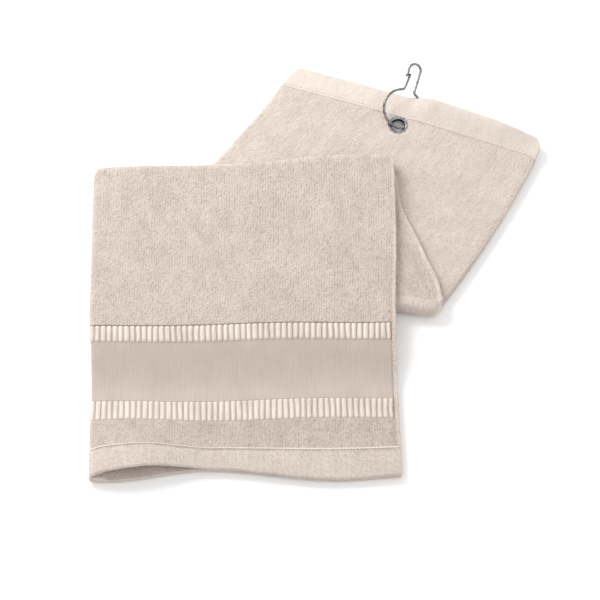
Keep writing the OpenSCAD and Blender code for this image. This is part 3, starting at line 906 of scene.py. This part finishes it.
def steel(name, dull, bright, throat=None):
    """Bright plated metal with faint smears. A throat is (x, y, radius) of an
    eyelet's hole, whose wall is painted near black as the shade in the hole."""
    made, t, shader = base_material(name, 0.16, 0.0)
    shader.inputs["Specular IOR Level"].default_value = 0.5
    shader.inputs["Metallic"].default_value = 1.0
    shader.inputs["Specular Tint"].default_value = (0.32, 0.32, 0.33, 1)
    where = t.node("ShaderNodeTexCoord").outputs["Object"]
    smear = t.noise(where, 420.0, 3.0, 0.6)
    shades = [(grey, grey, grey * 1.03, 1) for grey in (dull, bright)]
    colour = t.mix(t.spread(smear, 0.35, 0.65), *shades)
    if throat:
        parts = t.node("ShaderNodeSeparateXYZ")
        t.feed(parts.inputs[0], where)
        away = [t.math("SUBTRACT", parts.outputs[k], throat[k]) for k in (0, 1)]
        squares = [t.math("POWER", distance, 2.0) for distance in away]
        radius = t.math("SQRT", t.math("ADD", *squares))
        # Painted shade: the wall of the eyelet's hole is painted near black, where shade falls
        # in the hole.
        painted_throat_shade = t.spread(radius, throat[2] - 0.2 * MM, throat[2] + 0.5 * MM, 1.0, 0.0)
        colour = t.mix(painted_throat_shade, colour, (0.015, 0.015, 0.015, 1))
    t.feed(shader.inputs["Base Color"], colour)
    t.feed(shader.inputs["Roughness"], t.spread(smear, 0.3, 0.75, 0.22, 0.36))
    bump(t, shader, t.noise(where, 2600.0, 2.0), 0.08, 0.1 * MM)
    return made


# The back panel's pile and the strip's pile are copies of the front panel's pile with painted
# light: the back's colours are lighter and the strip's darker, for how the light falls on them.
pile_look = terry("terry_pile", (0.645, 0.552, 0.492), (0.43, 0.352, 0.298), 880.0, 0.32, 1.0)
back_look = terry("brushed_pile", (0.66, 0.57, 0.508), (0.47, 0.392, 0.335), 820.0, 0.12, 0.75)
strip_look = terry(
    "terry_pile_strip", (0.615, 0.522, 0.462), (0.385, 0.31, 0.26), 760.0, 0.35, 0.9)
top_hem_look = terry(
    "top_hem_pile", (0.69, 0.61, 0.548), (0.58, 0.50, 0.44), 900.0, 0.08, 0.35)
hem_look = woven(
    "turned_hem", (0.72, 0.63, 0.562), (0.62, 0.53, 0.462), 0.5, 0.8, 0.4 * MM, 0.35)
band_look = woven("smooth_band", (0.535, 0.452, 0.397), (0.485, 0.405, 0.353), 0.7, 0.5)
welt_look = woven("welt_thread", (0.86, 0.785, 0.71), (0.78, 0.70, 0.625), 0.6, 0.5)
thread_look = woven("sewing_thread", (0.70, 0.615, 0.548), (0.62, 0.535, 0.47), 0.6, 0.6)
steel_look = steel("plated_wire", 0.17, 0.30)
# The eyelet's hole wall gets painted shade, near black.
eyelet_look = steel("plated_eyelet", 0.30, 0.46, (EYELET[0], EYELET[1], 5 * MM))


def rib_material():
    """Ribs of pale soft yarn over a darker ground, told apart by their height."""
    made, t, shader = base_material("rib_yarn", 0.8, 0.2)
    where = uv_vector(t)
    weave = t.shared(WEAVE, where, Slub=0.7)
    rise = t.node("ShaderNodeAttribute", attribute_name="rib_rise").outputs["Fac"]
    shade = t.spread(weave["Shade"], 0.3, 0.7)
    ground = t.mix(shade, (0.46, 0.382, 0.328, 1), (0.52, 0.438, 0.38, 1))
    yarn = t.mix(shade, (0.64, 0.555, 0.49, 1), (0.80, 0.722, 0.655, 1))
    t.feed(shader.inputs["Base Color"], t.mix(t.spread(rise, 0.15, 0.6), ground, yarn))
    strand = t.noise(t.scaled(where, (0.9, 0.3, 1.0)), 2200.0, 2.0, 0.6)
    bump(t, shader, t.math("ADD", weave["Height"], strand), 0.6, 0.3 * MM)
    return made


rib_look = rib_material()


def cut(piece, tool):
    """Takes the tool's shape out of a piece, and removes the tool."""
    change = piece.modifiers.new("cut", "BOOLEAN")
    change.operation = "DIFFERENCE"
    change.solver = "EXACT"
    change.object = tool
    select_only(piece)
    bpy.ops.object.modifier_apply(modifier=change.name)
    piece.select_set(False)
    bpy.data.objects.remove(tool)


# The cloth is punched under the eyelet's flange.
HOLE_R = 6.95 * MM
bpy.ops.mesh.primitive_cylinder_add(
    vertices=64, radius=HOLE_R, depth=60 * MM, location=(EYELET[0], EYELET[1], 0))
cut(towel_back, bpy.context.object)
# The cut's new points are on the back panel.
rim = towel_back.data.attributes["along"].data
for vertex in towel_back.data.vertices:
    if math.hypot(vertex.co.x - EYELET[0], vertex.co.y - EYELET[1]) < HOLE_R + 0.5 * MM:
        rim[vertex.index].value = TOWEL_LEN


def plated(node, name, thickness):
    """A smooth copy of a wire, with its plating's thickness added."""
    piece = frame["nodes"][node].copy()
    piece.data = piece.data.copy()
    piece.name = name
    piece.parent = None
    bpy.context.collection.objects.link(piece)
    select_only(piece)
    bpy.ops.object.mode_set(mode="EDIT")
    bpy.ops.mesh.select_all(action="SELECT")
    bpy.ops.mesh.remove_doubles(threshold=0.001 * MM)
    bpy.ops.mesh.normals_make_consistent(inside=False)
    bpy.ops.transform.shrink_fatten(value=thickness)
    bpy.ops.object.mode_set(mode="OBJECT")
    bpy.ops.object.shade_smooth_by_angle(angle=math.radians(50))
    piece.select_set(False)
    return piece


PLATING = 0.12 * MM
ring_wire = plated("clip_wire", "clip_wire_plated", PLATING)
gate_wire = plated("clip_gate", "clip_gate_plated", PLATING)


def paint(piece, material):
    piece.data.materials.clear()
    piece.data.materials.append(material)


# --- Roles -------------------------------------------------------------------

def bend_over(piece):
    """Lays each point flat at its distance along the towel, bakes the piece's
    transform, and then puts every point back where it was."""
    mesh = piece.data
    count = len(mesh.vertices)
    folded = np.empty(count * 3, np.float32)
    mesh.vertices.foreach_get("co", folded)
    along = np.empty(count, np.float32)
    mesh.attributes["along"].data.foreach_get("value", along)
    flat = np.zeros((count, 3), np.float32)
    flat[:, 1] = along
    mesh.vertices.foreach_set("co", flat.ravel())
    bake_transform(piece)
    mesh.vertices.foreach_set("co", folded)
    mesh.update()


for piece, nodes, material, slot in (
    (towel_back, ("back_cloth", "middle_cloth"), back_look, "pile"),
    (towel_front, ("front_cloth",), pile_look, "pile"),
    (pile_strip, ("border_strip",), strip_look, "pile"),
    (lower_ribs, ("lower_rib_row",), rib_look, "rib_yarn"),
    (upper_ribs, ("upper_rib_row",), rib_look, "rib_yarn"),
    (smooth_band, ("border_band",), band_look, "smooth_band"),
    (bottom_hem, ("bottom_hem_band",), hem_look, "hem"),
    (top_hem, ("top_hem_band",), top_hem_look, "hem"),
    (side_hem_back, ("back_side_hem", "middle_side_hem"), hem_look, "hem"),
    (side_hem_front, (), hem_look, "hem"),
    (side_hem_border, ("front_side_hem",), hem_look, "hem"),
    (side_stitches_back, ("back_side_thread", "middle_side_thread"), thread_look, "thread"),
    (side_stitches_front, (), thread_look, "thread"),
    (side_stitches_border, ("front_side_thread",), thread_look, "thread"),
    (bottom_hem_stitches, ("bottom_hem_thread",), welt_look, "thread"),
    (top_hem_stitches, ("top_hem_thread",), thread_look, "thread"),
):
    paint(piece, material)
    if nodes:
        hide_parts(*nodes)

for piece in (pile_strip, lower_ribs, upper_ribs, smooth_band, bottom_hem, side_hem_border,
              side_stitches_border, bottom_hem_stitches):
    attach(piece, "front_panel")
for piece in (top_hem, top_hem_stitches):
    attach(piece, "back_panel")
for node in ("eyelet", "eyelet_washer"):
    paint(frame["nodes"][node], eyelet_look)
for piece, node, body in ((ring_wire, "clip_wire", "clip"), (gate_wire, "clip_gate", "gate")):
    paint(piece, steel_look)
    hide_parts(node)
    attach(piece, body)
for piece in (towel_back, side_hem_back, side_stitches_back):
    bend_over(piece)
for piece in (towel_front, side_hem_front, side_stitches_front):
    bend_over(piece)


# --- Stage -------------------------------------------------------------------

bpy.ops.mesh.primitive_plane_add(size=8, location=(0, 0, -0.5 * MM))
floor = bpy.context.object
floor.name = "floor"
floor_look, t, shader = base_material("pale_floor", 0.9, 0.0)
shader.inputs["Base Color"].default_value = (0.98, 0.98, 0.98, 1)
paint(floor, floor_look)

world = bpy.data.worlds.new("studio")
bpy.context.scene.world = world
world.use_nodes = True
sky = world.node_tree.nodes["Background"].inputs
sky["Color"].default_value = (1, 1, 1, 1)
sky["Strength"].default_value = 0.84


def softbox(name, location, size, power):
    bpy.ops.object.light_add(type="AREA", location=location)
    light = bpy.context.object
    light.name = name
    light.data.shape = "DISK"
    light.data.size = size
    light.data.energy = power
    light.rotation_mode = "QUATERNION"
    light.rotation_quaternion = (-Vector(location)).to_track_quat("-Z", "Y")


softbox("key", (-0.55, 0.60, 0.66), 0.6, 9)
softbox("fill", (0.9, -0.6, 1.5), 1.4, 4)
bpy.context.scene.view_settings.view_transform = "Standard"

AIM = Vector((-13.2 * MM, -24.6 * MM, 0))
AZIMUTH, ELEVATION, DISTANCE = math.radians(-1.1), math.radians(62), 2.2
level = math.cos(ELEVATION)
back_off = Vector((
    math.sin(AZIMUTH) * level, -math.cos(AZIMUTH) * level, math.sin(ELEVATION)))
bpy.ops.object.camera_add(location=AIM + back_off * DISTANCE)
camera = bpy.context.object
camera.rotation_mode = "QUATERNION"
camera.rotation_quaternion = (-back_off).to_track_quat("-Z", "Y")
camera.data.sensor_width = 36
camera.data.lens = 199.7
bpy.context.scene.camera = camera
